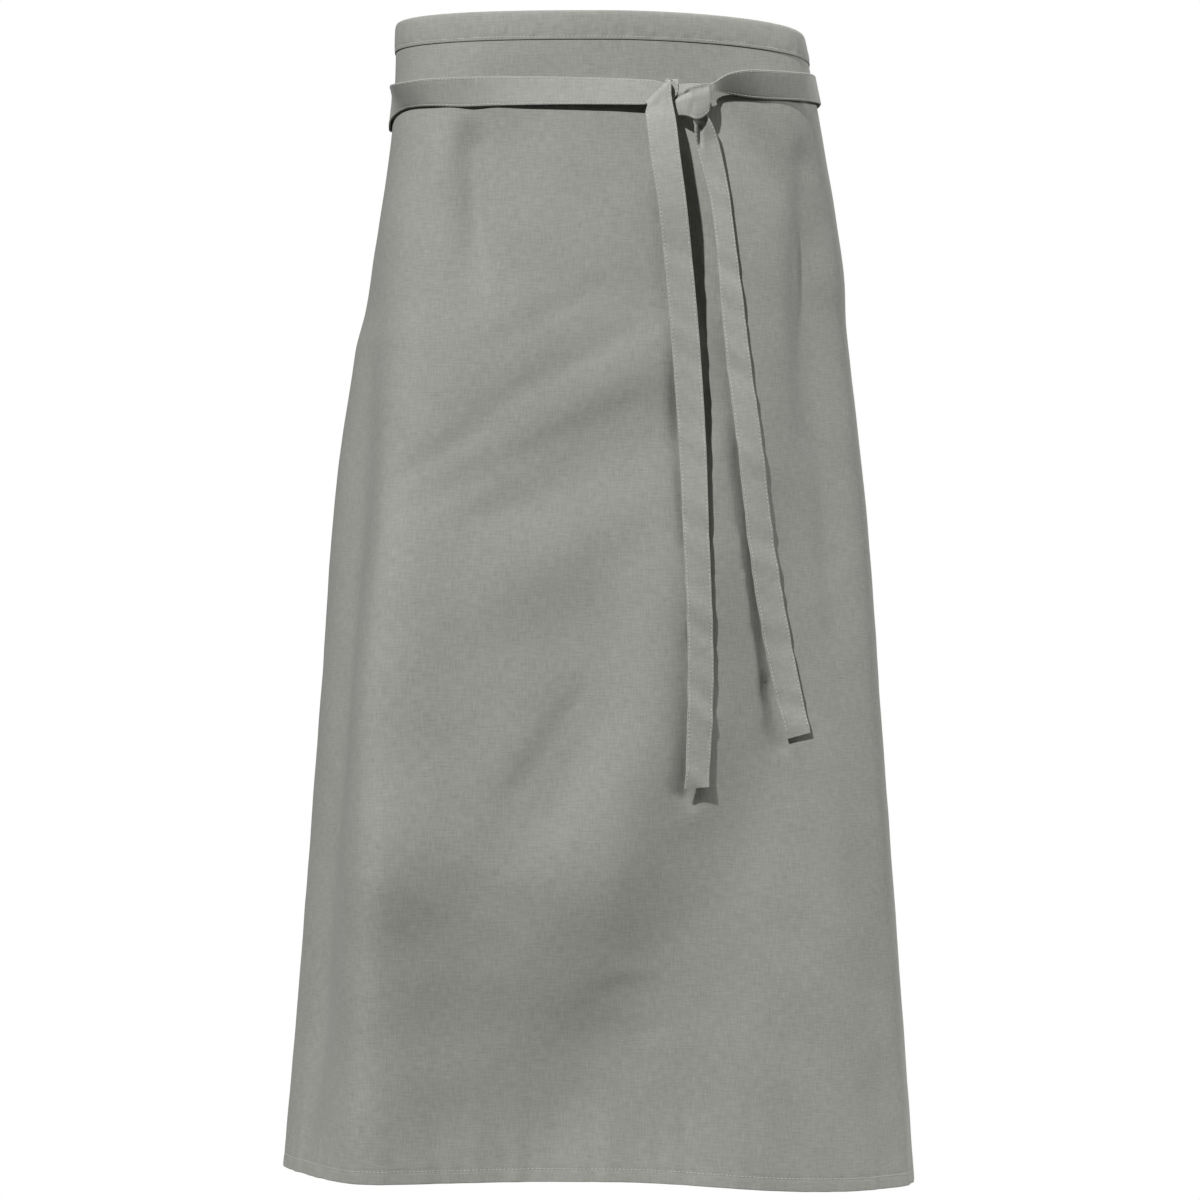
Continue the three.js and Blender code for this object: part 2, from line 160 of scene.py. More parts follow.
# Creases too fine for the solids, in the same form
CREASES = table(
    FOLD_COLUMNS,
    [-116, 100, -108, 185, 8, 35, -4.6],  # pinch under the tie, left
    [-143, 102, -146, 140, 9, 25, 2.4],
    [192, 125, 196, 200, 10, 30, -2.4],  # upper right side
    [186, 280, 190, 340, 10, 30, -1.5],
    [214, 340, 222, 440, 10, 40, -1.7],
    [-66, 271, -10, 242, 7, 20, -0.9],  # drag lines across the front
    [-72, 328, 10, 284, 7, 25, -1.1],
    [-160, 390, -112, 361, 7, 20, -1.3],
    [-122, 404, 14, 342, 9, 25, -1.1],
    [-100, 432, -72, 424, 8, 12, -0.8],
    [-27, 599, -62, 652, 8, 22, -1.7],  # crease between the swells
    [-190, 430, -184, 760, 11, 50, 1.9],  # flute down the left front
    [-184, 760, -212, 985, 12, 40, 2.2],
    [-160, 731, -80, 760, 10, 25, -1],  # below the left swell
    [8, 821, 34, 818, 4, 6, 0.5],  # nicks in the cloth under the swells
    [10, 835, 34, 832, 7, 9, -0.5],
    [30, 872, 56, 866, 6, 10, -0.6],
    [56, 180, 70, 350, 6.5, 20, -3.5],  # pressed in along the left tail
    [66, 300, 70, 350, 6, 15, -2],
    [70, 350, 78.5, 520, 6.5, 25, -4.5],
    [72, 405, 75, 445, 6, 12, -2.5],
    [78.5, 540, 77, 665, 6.5, 10, -4],
    [103, 200, 121, 375, 5, 20, -3],  # pressed in along the right tail
    [121, 375, 150, 570, 5, 20, -3],
    [150, 570, 163, 620, 5, 6, -2.4],
)
CREASE_FREE = {"start": 88, "end": 120}
CRUMPLE = {"waves": 70, "shortest": 20, "longest": 85, "slope": 0.012, "seed": 4}
HEM_PUCKER = {"lengths": (19, 27, 41), "height": 0.35, "reach": 45}
HEM_GROOVE = {"depth": 0.22, "spread": 1.5}

# Ripples along the hanging tails, and how far they slant across the tie
WAVE_COLUMNS = ["length", "height", "start"]
RIPPLES = table(WAVE_COLUMNS, [19, 0.26, 0.4], [29, 0.46, 2.1], [47, 0.42, 4.4])
RIPPLE_SLANT = 0.6
RIPPLE_FREE = {"start": 130, "end": 230}

# Puckers above the waistband's seam, on the part of its outer leaf that lies furthest out
BAND_PUCKERS = table(WAVE_COLUMNS, [8.4823, 0.16, 0], [14.4513, 0.2, 1.1], [32.0442, 0.16, 0])
PUCKERED = {"drop": 20, "spread": 3.5, "leastOut": 1}

# Tucks in the knot: lines as the viewer sees them, their half width and depth
TUCK_COLUMNS = ["x1", "drop1", "x2", "drop2", "spread", "depth"]
KNOT_TUCKS = table(
    TUCK_COLUMNS,
    [66.5, 75.8, 75.5, 71.8, 1.3, 1.7],
    [75.5, 71.8, 91, 66.5, 1.6, 1.2],
    [76, 93, 80, 80, 2, 0.7],
    [85.4, 99, 85, 116, 1.3, 2.6],  # pleat at the top of the right tail
)

# The ties round the waist, by the angle from the front's middle
ROUND_COLUMNS = ["angle", "drop", "outUpper", "outLower"]
LEFT_TIE_ROUND = table(
    ROUND_COLUMNS,
    [151.8, 26.6, -1, -1],
    [156, 26.6, -1, -1],
    [162, 26.6, -0.6, -0.6],
    [168, 26.4, 1.6, 1.6],
    [173, 28, 2.3, 2.3],
    [180, 31.5, 2.5, 2.5],
    [190, 38.5, 2.3, 2.3],
    [200, 44.5, 1.6, 1.6],
    [225, 59.5, 1.5, 1.5],
    [248, 73, 1.7, 1.7],
    [264, 78.5, 1.2, 2.6],
    [276, 75, 1.3, 2.4],
    [284, 71.6, 2.4, 1.6],
    [291, 69.6, 7.4, 1],
    [298, 68.6, 14, 1],
    [306, 68, 14.4, 1.1],
    [314, 67.9, 11, 1.1],
)
RIGHT_TIE_ROUND = table(
    ROUND_COLUMNS,
    [151.8, 14.6, -0.5, -0.5],
    [156, 14.6, -0.5, -0.5],
    [163, 14.6, -0.5, -0.5],
    [171, 20.5, -0.5, -0.5],
    [180, 31, -0.6, -0.6],
    [188, 43.5, -0.6, -0.6],
    [192, 51, -0.6, -0.6],
    [198, 55.5, 1.3, 1.3],
    [215, 56.5, 1.6, 1.6],
    [245, 57, 1.3, 1.3],
    [270, 57, 1.1, 1.1],
    [290, 59, 1.8, 1.3],
    [302, 60.5, 8.4, 1.5],
)

# The ties in front, rung by rung: place, drop and distance off the cloth of both edges, and the bow between
FRONT_COLUMNS = ["x1", "drop1", "out1", "x2", "drop2", "out2", "bow"]
LEFT_TIE_FRONT = table(
    FRONT_COLUMNS,
    [-118, 56.2, 7.4, -118, 81.1, 1.1, 0],  # along the front
    [-92, 56.2, 3.2, -92, 81, 1.4, 0],
    [-40, 57, 1.1, -40, 81.2, 3.8, 0],
    [10, 58.4, 1.5, 10, 81.6, 5.2, 0],
    [38, 59.8, 3.6, 38, 81.8, 6.2, 0],
    [48, 60.8, 4.8, 48, 80.6, 5.2, 0],  # gathered into the knot
    [56, 63, 5.2, 56, 77.6, 5.4, 0],
    [63, 64.2, 5.8, 62.6, 75.4, 5.8, 0],
    [69.5, 64.2, 8.2, 66.5, 75.6, 8, 0.5],
    [78.5, 63.6, 11.4, 73, 76, 11, 1],
    [86.4, 64.6, 12, 77, 80.4, 11.6, 1],  # turned down behind the other tie
    [89, 74.5, 11.6, 77.6, 87, 11.6, 0],
    [90.4, 88.5, 11.8, 78.4, 94, 11.8, -1],
    [95.8, 98, 11.6, 80, 98.6, 11, -2],  # tail, pleated at first
    [101, 112.2, 8, 81.2, 114.6, 8, -3],
    [106, 134, 5.6, 87, 136, 5.6, -1.4],
    [110.6, 159, 4.6, 93.4, 160.6, 4.6, 0],
    [115.4, 197.4, 4.2, 98.8, 199.6, 4.2, 0],
    [122, 247.4, 3.8, 103, 249.4, 3.8, 0.4],
    [128.8, 303.6, 3.6, 108.4, 306.4, 3.6, 0.4],
    [138.6, 371.4, 3.6, 117.2, 375, 3.6, 0.4],
    [147.2, 443.6, 3.4, 125.4, 448, 3.4, 0.4],
    [156, 497.4, 3.4, 133.6, 504, 3.4, 0.4],
    [168.4, 562, 3.2, 146.4, 570.4, 3.2, 0.4],
    [180.4, 616.8, 3.2, 160, 622.4, 3, 0.4],
)
RIGHT_TIE_FRONT = table(
    FRONT_COLUMNS,
    [140, 49.8, 13, 140, 74, 1.6, 0.4],  # along the front, leaning back
    [123.6, 51, 14, 123.6, 73, 2, 0.4],
    [108.4, 55, 13.4, 108.4, 70.8, 4.2, 0.2],
    [98.6, 61, 10.6, 98.6, 69.8, 7.4, 0],
    [93.6, 63.2, 11, 93.4, 78, 10.8, 0.4],
    [91.6, 63.6, 14.4, 91.8, 88.6, 13.8, 1],  # across the knot
    [84, 64.6, 15.8, 82.6, 95, 14.6, 1.4],
    [75, 67, 14.6, 75.6, 92.4, 13.8, 1.2],
    [67.4, 74.6, 11.4, 69.4, 91, 10.4, 0.6],
    [62, 79.6, 7.4, 64, 91, 6.4, 0],
    [56, 81, 4.4, 61, 89, 3.6, 0],  # under and behind the other tie
    [53, 73.4, 2.4, 62.6, 76.6, 2.4, 0],
    [54, 64, 2.6, 64, 65.4, 2.6, 0],
    [56, 60.6, 5.4, 66, 60.4, 6, 0],  # over its upper edge
    [60.6, 60.4, 7.4, 66.4, 62, 8, 0],
    [62.6, 62, 8, 65.6, 73, 8.6, 0],
    [61, 61.6, 8.6, 56, 80, 8.6, 0],
    [60.2, 62.4, 9.2, 40.2, 82.4, 9.2, 0],  # folded on the slant
    [58.6, 60.8, 11.6, 38.6, 80.8, 11.6, 0],
    [60.2, 62.4, 14, 40.2, 82.4, 14, 0],
    [60.8, 75, 16, 38.6, 88.6, 16, 0.4],  # tail
    [64.4, 95.6, 21, 39.6, 98.2, 20, 0.4],
    [68.2, 128, 25, 43.2, 129.2, 23.4, 0.4],
    [73.2, 165.6, 24.6, 49, 166.8, 23, 0.4],
    [77.2, 204, 20, 53.4, 204.8, 18.8, 0.4],
    [82.8, 262.8, 14, 58.8, 262.8, 13.2, 0.4],
    [87.2, 321.6, 11.4, 63.4, 321.6, 10.8, 0.4],
    [90.4, 380.4, 8.4, 67.4, 380.4, 8, 0.4],
    [92.2, 437.6, 6, 70, 437.6, 5.8, 0.4],
    [94.6, 496.4, 4.4, 72.8, 496.4, 4.4, 0.4],
    [96.4, 554.6, 3.8, 74.4, 554.6, 3.8, 0.4],
    [95.4, 607.4, 4, 73.8, 607.4, 3.8, 0.4],
    [92.2, 662, 5.2, 72, 663.6, 4.8, 0.4],
)


# Shape of the worn cloth
def ease(t):
    """A smooth step from 0 to 1."""
    t = np.clip(t, 0, 1)
    return t * t * (3 - 2 * t)


def blend(t, value1, slope1, value2, slope2):
    """A cubic from one value and slope to another."""
    start = (2 * t**3 - 3 * t**2 + 1) * value1 + (t**3 - 2 * t**2 + t) * slope1
    return start + (3 * t**2 - 2 * t**3) * value2 + (t**3 - t**2) * slope2


def smoothly(rows, place, at, column):
    """Smooth value of one column of a table at a place between its rows."""
    places = rows[place]
    values = rows[column]
    last = len(places) - 1
    before = np.maximum(np.arange(last + 1) - 1, 0)
    after = np.minimum(np.arange(last + 1) + 1, last)
    slopes = (values[after] - values[before]) / (places[after] - places[before])
    i = np.clip(np.searchsorted(places, at, side="right") - 1, 0, last - 1)
    span = places[i + 1] - places[i]
    t = np.clip((at - places[i]) / span, 0, 1)
    return blend(t, values[i], span * slopes[i], values[i + 1], span * slopes[i + 1])


def waves(rows, along):
    """Height of a table's waves at distances along the cloth."""
    each = zip(*(rows[column] for column in WAVE_COLUMNS))
    return sum(height * np.sin(math.tau * along / length + start) for length, height, start in each)


def ring(section, angle):
    """A section's points at angles from the front's middle, with their outward directions."""
    sin = np.sin(angle)
    cos = np.cos(angle)
    width = np.where(sin > 0, section["right"], section["left"])
    depth = np.where(cos > 0, section["front"], section["back"])
    reach = (np.abs(sin) ** FULLNESS + np.abs(cos) ** FULLNESS) ** (-1 / FULLNESS)
    steepness = [np.sign(part) * np.abs(part) ** (FULLNESS - 1) for part in (sin, cos)]
    outward = np.stack([steepness[0] / width, -steepness[1] / depth], -1)
    outward /= np.linalg.norm(outward, axis=-1, keepdims=True)
    return np.stack([width * sin * reach, -depth * cos * reach], -1), outward


# Sections worked out so far, by their drop
measured = {}


def section_at(drop):
    """The section at a drop, with its girth from the front's middle round both sides."""
    if drop not in measured:
        section = {column: smoothly(SECTIONS, "drop", drop, column) for column in list(SECTIONS)[1:]}
        section["angles"] = np.radians(np.arange(-180, 181))
        points = ring(section, section["angles"])[0]
        girth = np.concatenate([[0], np.cumsum(np.linalg.norm(np.diff(points, axis=0), axis=1))])
        section["girth"] = girth - girth[len(girth) // 2]
        measured[drop] = section
    return measured[drop]


def fold_height(folds, free, across, drop):
    """How far a table's folds lift the cloth, growing from nothing between two drops."""
    height = np.zeros(np.broadcast(across, drop).shape)
    for x1, d1, x2, d2, spread, fade, rise in zip(*(folds[column] for column in FOLD_COLUMNS)):
        length = math.hypot(x2 - x1, d2 - d1)
        along = ((across - x1) * (x2 - x1) + (drop - d1) * (d2 - d1)) / length
        aside = ((across - x1) * (d2 - d1) - (drop - d1) * (x2 - x1)) / length / spread
        past = (along - np.clip(along, 0, length)) / fade
        height += rise * np.exp(-0.5 * (aside**2 + past**2))
    return height * ease((drop - free["start"]) / (free["end"] - free["start"]))


def relief(across, drop):
    """The panel's fine unevenness: creases, a soft crumple of many waves, puckers near the hem and a groove
    along its seam."""
    chance = np.random.default_rng(CRUMPLE["seed"])
    crumple = np.zeros(np.broadcast(across, drop).shape)
    for _ in range(CRUMPLE["waves"]):
        length = chance.uniform(CRUMPLE["shortest"], CRUMPLE["longest"])
        turn, start = chance.uniform(0, math.tau, 2)
        run = across * math.cos(turn) + drop * math.sin(turn)
        crumple += length * np.sin(math.tau * run / length + start)
    crumple *= CRUMPLE["slope"] / math.tau / math.sqrt(CRUMPLE["waves"] / 2)
    pucker = sum(np.sin(math.tau * across / length) for length in HEM_PUCKER["lengths"])
    pucker = HEM_PUCKER["height"] * pucker * np.exp((drop - LENGTH) / HEM_PUCKER["reach"])
    free = ease((drop - CREASE_FREE["start"]) / (CREASE_FREE["end"] - CREASE_FREE["start"]))
    groove = np.exp(-0.5 * ((LENGTH - HEM_STITCH_RISE - drop) / HEM_GROOVE["spread"]) ** 2)
    fine = free * (crumple + pucker) - HEM_GROOVE["depth"] * groove
    return fold_height(CREASES, CREASE_FREE, across, drop) + fine


def sag_at(across, drop):
    """How much lower the cloth hangs towards its sides."""
    right = (SAG["waist"] + (SAG["hem"] - SAG["waist"]) * drop / LENGTH) * ease(across / SAG["reach"])
    return right + SAG["leftHem"] * drop / LENGTH * ease(-across / SAG["reach"])


def on_cloth(across, drop, out):
    """Points at places on the draped cloth, at a distance outside it."""
    places = np.broadcast_arrays(across, drop, out)
    across, drop, out = (np.ravel(values).astype(float) for values in places)
    points = np.empty((len(across), 3))
    lift = fold_height(FOLDS, FOLD_FREE, across, drop) + out
    for level in np.unique(drop):
        here = drop == level
        section = section_at(level)
        angle = np.interp(across[here], section["girth"], section["angles"])
        at, outward = ring(section, angle)
        points[here, :2] = at + outward * lift[here, None]
    points[:, 2] = -drop - sag_at(across, drop)
    return points


def in_front(x, drop, out):
    """A point in front as the viewer sees it: x across, a drop, a distance in front of the cloth there."""
    low = -SAG["reach"]
    high = SAG["reach"]
    for _ in range(HALVINGS):
        middle = (low + high) / 2
        if on_cloth(middle, drop - sag_at(middle, drop), 0)[0, 0] < x:
            low = middle
        else:
            high = middle
    cloth = on_cloth(low, drop - sag_at(low, drop), 0)[0]
    return np.array([x, cloth[1] - out, -drop])


def round_waist(angle, drop, out):
    """A point at an angle from the front's middle, at a distance outside the form."""
    at, outward = ring(section_at(drop), math.radians(angle))
    return np.array([*(at + outward * out), -drop])


def stations(start, end, step):
    """Even places from start to end, a step apart at most."""
    return np.linspace(start, end, math.ceil((end - start) / step) + 1)


# Meshes
def corners(grid):
    """The four corners of each cell of a grid, in order round it."""
    return [grid[:-1, :-1], grid[:-1, 1:], grid[1:, 1:], grid[1:, :-1]]


def sheet_mesh(name, points, uv, wrap=False):
    """A grid of points as a mesh of quads, with a UV map in metres. A wrapped grid closes across."""
    rows, columns = points.shape[:2]
    mesh = bpy.data.meshes.new(name)
    index = np.arange(rows * columns).reshape(rows, columns)
    ring_index = np.concatenate([index, index[:, :1]], 1) if wrap else index
    faces = np.stack(corners(ring_index), -1).reshape(-1, 4).tolist()
    uv_quads = np.stack(corners(uv), 2).reshape(-1, 2)
    if wrap:
        faces += [index[0, ::-1].tolist(), index[-1].tolist()]
        uv_quads = np.concatenate([uv_quads, uv[0, -2::-1], uv[-1, :-1]])
    mesh.from_pydata((points.reshape(-1, 3) * MM).tolist(), [], faces)
    layer = mesh.uv_layers.new(name="cloth")
    layer.data.foreach_set("uv", (uv_quads * MM).ravel())
    mesh.polygons.foreach_set("use_smooth", np.ones(len(mesh.polygons), bool))
    mesh.validate()
    mesh.update()
    mesh.set_sharp_from_angle(angle=math.radians(SHARP_ANGLE))
    piece = bpy.data.objects.new(name, mesh)
    bpy.context.scene.collection.objects.link(piece)
    return piece


def thicken(piece, wall):
    """Gives a sheet its wall, inwards from the face that shows."""
    solidify = piece.modifiers.new("wall", "SOLIDIFY")
    solidify.thickness = wall * MM
    solidify.offset = -1


def make_panel(material):
    """The panel: one sheet, its bottom and side hems turned to the inside, and its flat width and length."""
    half = CUT_WIDTH / 2
    fold = np.radians(np.arange(FOLD_STEP, 180, FOLD_STEP))
    turn = LAYER_STEP / 2
    flat = stations(turn - half, half - turn, PANEL_COLUMN)
    left = [(inset - half, 2 * turn) for inset in np.linspace(SIDE_HEM, turn, TURNED_COLUMNS)]
    left += [(turn - half - turn * math.sin(angle), turn * (1 + math.cos(angle))) for angle in fold]
    columns = left + [(place, 0) for place in flat] + [(-place, depth) for place, depth in reversed(left)]
    hem_top = LENGTH - 2 * HEM_STITCH_RISE
    rows = [(level, 0) for level in stations(PANEL_TOP, hem_top, PANEL_ROW)[:-1]]
    rows += [(level, 0) for level in stations(hem_top, LENGTH - turn, HEM_ROW)]
    rows += [(LENGTH - turn + turn * math.sin(angle), turn * (1 - math.cos(angle))) for angle in fold]
    rows += [(LENGTH - rise, 2 * turn) for rise in np.linspace(turn, HEM_HEIGHT, TURNED_ROWS)]
    across, side_depth = np.array(columns).T
    drop, hem_depth = np.array(rows).T
    # The turned hem lies a layer further in, and near the sides behind the layers of the side hem
    near_side = ease((np.abs(across) - half + SIDE_HEM + SIDE_BLEND) / SIDE_BLEND)
    turned_depth = 2 * turn + 4 * turn * near_side - side_depth
    turned = (hem_depth / (2 * turn))[:, None]
    below_band = ease((drop - BAND_HEIGHT) / BAND_HEIGHT)[:, None]
    depth = side_depth * below_band * (1 - turned) + turned_depth * turned
    lift = relief(across[None, :], drop[:, None]) - depth
    points = on_cloth(across[None, :], drop[:, None], lift).reshape(*lift.shape, 3)
    run_across = np.concatenate([[0], np.cumsum(np.hypot(np.diff(across), np.diff(side_depth)))])
    run_down = np.concatenate([[0], np.cumsum(np.hypot(np.diff(drop), np.diff(hem_depth)))])
    uv = np.stack(np.broadcast_arrays(run_across[None, :], -run_down[:, None]), -1)
    panel = sheet_mesh("panel", points[:, ::-1], uv[:, ::-1])
    panel.data.materials.append(material)
    thicken(panel, CLOTH_WALL)
    return panel, run_across[-1], run_down[-1]


# The waistband's strip as it is folded, from the hidden turning behind the outer leaf, round its lower edge,
# up the outside, over the top and down the inside
BAND_PATH = table(
    ["drop", "out"],
    [18, 0.3],
    [23.6, 0.3],
    [24.7, 0.36],
    [25, 0.6],
    [24.7, 0.85],
    [23.8, 0.95],
    [22.6, 0.85],
    [21.2, 1.05],
    [17, 1.4],
    [11, 1.5],
    [5, 1.4],
    [2, 1.1],
    [0.6, 0.5],
    [0, -0.5],
    [0.6, -1.5],
    [2, -2.1],
    [8, -2.5],
    [16, -2.5],
    [22.6, -2.2],
    [24.4, -2.1],
    [25, -1.8],
    [24.4, -1.5],
    [18, -1.4],
)


def make_waistband(material):
    """The waistband: a strip folded over the panel's top edge, puckered a little above its seam, and the
    strip's flat length and width."""
    end = CUT_WIDTH / 2 + BAND_OVERRUN
    across = stations(-end, end, BAND_COLUMN)
    drop = BAND_PATH["drop"]
    out = BAND_PATH["out"]
    near_seam = np.exp(-0.5 * ((drop - PUCKERED["drop"]) / PUCKERED["spread"]) ** 2)
    near_seam *= out > PUCKERED["leastOut"]
    lift = out[:, None] + near_seam[:, None] * waves(BAND_PUCKERS, across)[None, :]
    points = on_cloth(across[None, :], drop[:, None], lift).reshape(*lift.shape, 3)
    run = np.concatenate([[0], np.cumsum(np.hypot(np.diff(drop), np.diff(out)))])
    uv = np.stack(np.broadcast_arrays(across[None, :], -run[:, None]), -1)
    band = sheet_mesh("waistband_cloth", points, uv)
    band.data.materials.append(material)
    thicken(band, CLOTH_WALL / 2)
    return band, 2 * end, run[-1]


# Edge rounding and seam groove of a folded tie: distance from its edge, and share of the wall's half
TIE_EDGE = table(
    ["inset", "rise"],
    [0, 0],
    [0.12, 0.55],
    [0.4, 0.85],
    [0.9, 1],
    [TIE_STITCH_INSET, 0.8],
    [2.6, 0.98],
    [4.5, 1],
)

# Columns on the flat of a tie between its rounded edges, by their distance from its first edge
TIE_INNER = np.arange(6.5, 20, 2)


def centripetal(points, at):
    """Points of a centripetal Catmull-Rom curve through a list of points, at row numbers with fractions."""
    ends = np.concatenate([[2 * points[0] - points[1]], points, [2 * points[-1] - points[-2]]])
    i = np.clip(np.floor(at).astype(int), 0, len(points) - 2)
    t = (at - i)[:, None]
    p0, p1, p2, p3 = (ends[i + k] for k in range(4))
    chords = [np.linalg.norm(step, axis=1) for step in (p1 - p0, p2 - p1, p3 - p2)]
    gap0, gap1, gap2 = (np.sqrt(np.maximum(chord, LEAST_GAP))[:, None] for chord in chords)
    slope1 = ((p1 - p0) / gap0 - (p2 - p0) / (gap0 + gap1) + (p2 - p1) / gap1) * gap1
    slope2 = ((p2 - p1) / gap1 - (p3 - p1) / (gap1 + gap2) + (p3 - p2) / gap2) * gap1
    return blend(t, p1, slope1, p2, slope2)


def tie_strip(round_rows, front_rows, turn):
    """A tie from the waistband's end to the tail's end: its edges, its outward directions, its bow, the
    length run so far, and how freely it hangs. The turn is 1 for the tie that comes round the left side,
    and -1 for the other."""
    angles = stations(round_rows["angle"][0], round_rows["angle"][-1], ROUND_STEP)
    rungs = []
    for angle in angles:
        drop, upper, lower = (smoothly(round_rows, "angle", angle, column) for column in ROUND_COLUMNS[1:])
        height = math.sqrt(TIE_WIDTH**2 - (upper - lower) ** 2)
        above = round_waist(turn * angle, drop - height / 2, upper)
        below = round_waist(turn * angle, drop + height / 2, lower)
        rungs.append((above, below, 0))
    for x1, drop1, out1, x2, drop2, out2, bow in zip(*(front_rows[column] for column in FRONT_COLUMNS)):
        rungs.append((in_front(x1, drop1, out1), in_front(x2, drop2, out2), bow))
    first, second, bows = (np.array(values) for values in zip(*rungs))
    at = np.arange((len(rungs) - 1) * TIE_STEPS + 1) / TIE_STEPS
    edge1 = centripetal(first, at)
    edge2 = centripetal(second, at)
    middle = (edge1 + edge2) / 2
    outward = np.cross(np.gradient(middle, axis=0), edge2 - edge1) * -turn
    outward /= np.linalg.norm(outward, axis=1, keepdims=True)
    run = np.concatenate([[0], np.cumsum(np.linalg.norm(np.diff(middle, axis=0), axis=1))])
    loose = ease((-middle[:, 2] - RIPPLE_FREE["start"]) / (RIPPLE_FREE["end"] - RIPPLE_FREE["start"]))
    return edge1, edge2, outward, np.interp(at, np.arange(len(rungs)), bows), run, loose


def tucked(points):
    """Points of a tie, pressed back along the tucks in the knot."""
    points = points.copy()
    for x1, d1, x2, d2, spread, depth in zip(*(KNOT_TUCKS[column] for column in TUCK_COLUMNS)):
        length = math.hypot(x2 - x1, d2 - d1)
        here = np.stack([points[..., 0] - x1, -points[..., 2] - d1], -1)
        along = (here[..., 0] * (x2 - x1) + here[..., 1] * (d2 - d1)) / length
        aside = (here[..., 0] * (d2 - d1) - here[..., 1] * (x2 - x1)) / length
        past = along - np.clip(along, 0, length)
        points[..., 1] += depth * np.exp(-0.5 * (aside**2 + past**2) / spread**2)
    return points


def tie_points(strip, inset, rise):
    """Points across a tie, at distances from its first edge and heights off its middle."""
    edge1, edge2, outward, bow, run, loose = strip
    inset = np.asarray(inset)
    share = inset / TIE_WIDTH
    ripple = waves(RIPPLES, run[:, None] + RIPPLE_SLANT * inset[None, :])
    middle = edge1[:, None] + (edge2 - edge1)[:, None] * share[None, :, None]
    bowed = bow[:, None] * (4 * share * (1 - share))[None, :]
    lift = bowed + loose[:, None] * ripple + np.asarray(rise)[None, :]
    return tucked(middle + outward[:, None] * lift[..., None])


def make_tie(name, strip, turn, material):
    """A tie: cloth folded to a flat tape, with rounded edges and a groove along each seam, and its length.
    Its rows run the way of its turn, so that its faces look outwards."""
    edge_inset = TIE_EDGE["inset"]
    edge_rise = TIE_EDGE["rise"]
    inset = np.concatenate([edge_inset, TIE_INNER, TIE_WIDTH - edge_inset[::-1]])
    rise = np.concatenate([edge_rise, np.ones(len(TIE_INNER)), edge_rise[::-1]]) * TIE_WALL / 2
    inset = np.concatenate([inset, inset[-2:0:-1]])
    rise = np.concatenate([rise, -rise[-2:0:-1]])
    points = tie_points(strip, inset, rise)
    run = strip[4]
    around = np.concatenate([inset, [0]])
    uv = np.stack(np.broadcast_arrays(around[None, :], run[:, None]), -1)
    tie = sheet_mesh(name, points[::turn], uv[::turn], wrap=True)
    tie.data.materials.append(material)
    return tie, run[-1]


# Stitches
def add_node(tree, kind, settings=None, **inputs):
    """One node with its settings, and its inputs set to values or linked from sockets. An input is named, or
    numbered as i0, i1 and so on."""
    node = tree.nodes.new(kind)
    for name, value in (settings or {}).items():
        setattr(node, name, value)
    for name, value in inputs.items():
        numbered = name[0] == "i" and name[1:].isdigit()
        socket = node.inputs[int(name[1:]) if numbered else name.replace("_", " ")]
        if isinstance(value, bpy.types.NodeSocket):
            tree.links.new(value, socket)
        else:
            socket.default_value = value
    return node


def stitch_tree(material):
    """Lays a stitch at each pitch along the edges of a mesh, turned along them, and paints it as thread."""
    tree = bpy.data.node_groups.new("row of stitches", "GeometryNodeTree")
    tree.interface.new_socket("Path", in_out="INPUT", socket_type="NodeSocketGeometry")
    for name in ("Pitch", "Length", "Thread"):
        tree.interface.new_socket(name, in_out="INPUT", socket_type="NodeSocketFloat")
    tree.interface.new_socket("Stitches", in_out="OUTPUT", socket_type="NodeSocketGeometry")
    given = add_node(tree, "NodeGroupInput").outputs
    curve = add_node(tree, "GeometryNodeMeshToCurve", Mesh=given["Path"]).outputs["Curve"]
    by_length = {"mode": "LENGTH"}
    spaced = add_node(tree, "GeometryNodeResampleCurve", by_length, Curve=curve, Length=given["Pitch"])
    tangent = add_node(tree, "GeometryNodeInputTangent").outputs["Tangent"]
    turned = add_node(tree, "FunctionNodeAlignRotationToVector", {"axis": "X"}, Vector=tangent)
    divide = {"operation": "DIVIDE"}
    half = add_node(tree, "ShaderNodeMath", divide, i0=given["Length"], i1=2.0).outputs[0]
    radius = add_node(tree, "ShaderNodeMath", divide, i0=given["Thread"], i1=2.0).outputs[0]
    size = add_node(tree, "ShaderNodeCombineXYZ", X=half, Y=radius, Z=radius).outputs[0]
    bead = add_node(tree, "GeometryNodeMeshUVSphere", **BEAD).outputs["Mesh"]
    smooth = add_node(tree, "GeometryNodeSetShadeSmooth", Geometry=bead).outputs[0]
    placed = add_node(
        tree,
        "GeometryNodeInstanceOnPoints",
        Points=spaced.outputs["Curve"],
        Instance=smooth,
        Rotation=turned.outputs["Rotation"],
        Scale=size,
    )
    real = add_node(tree, "GeometryNodeRealizeInstances", Geometry=placed.outputs["Instances"]).outputs[0]
    painted = add_node(tree, "GeometryNodeSetMaterial", Geometry=real, Material=material).outputs[0]
    add_node(tree, "NodeGroupOutput", Stitches=painted)
    return tree


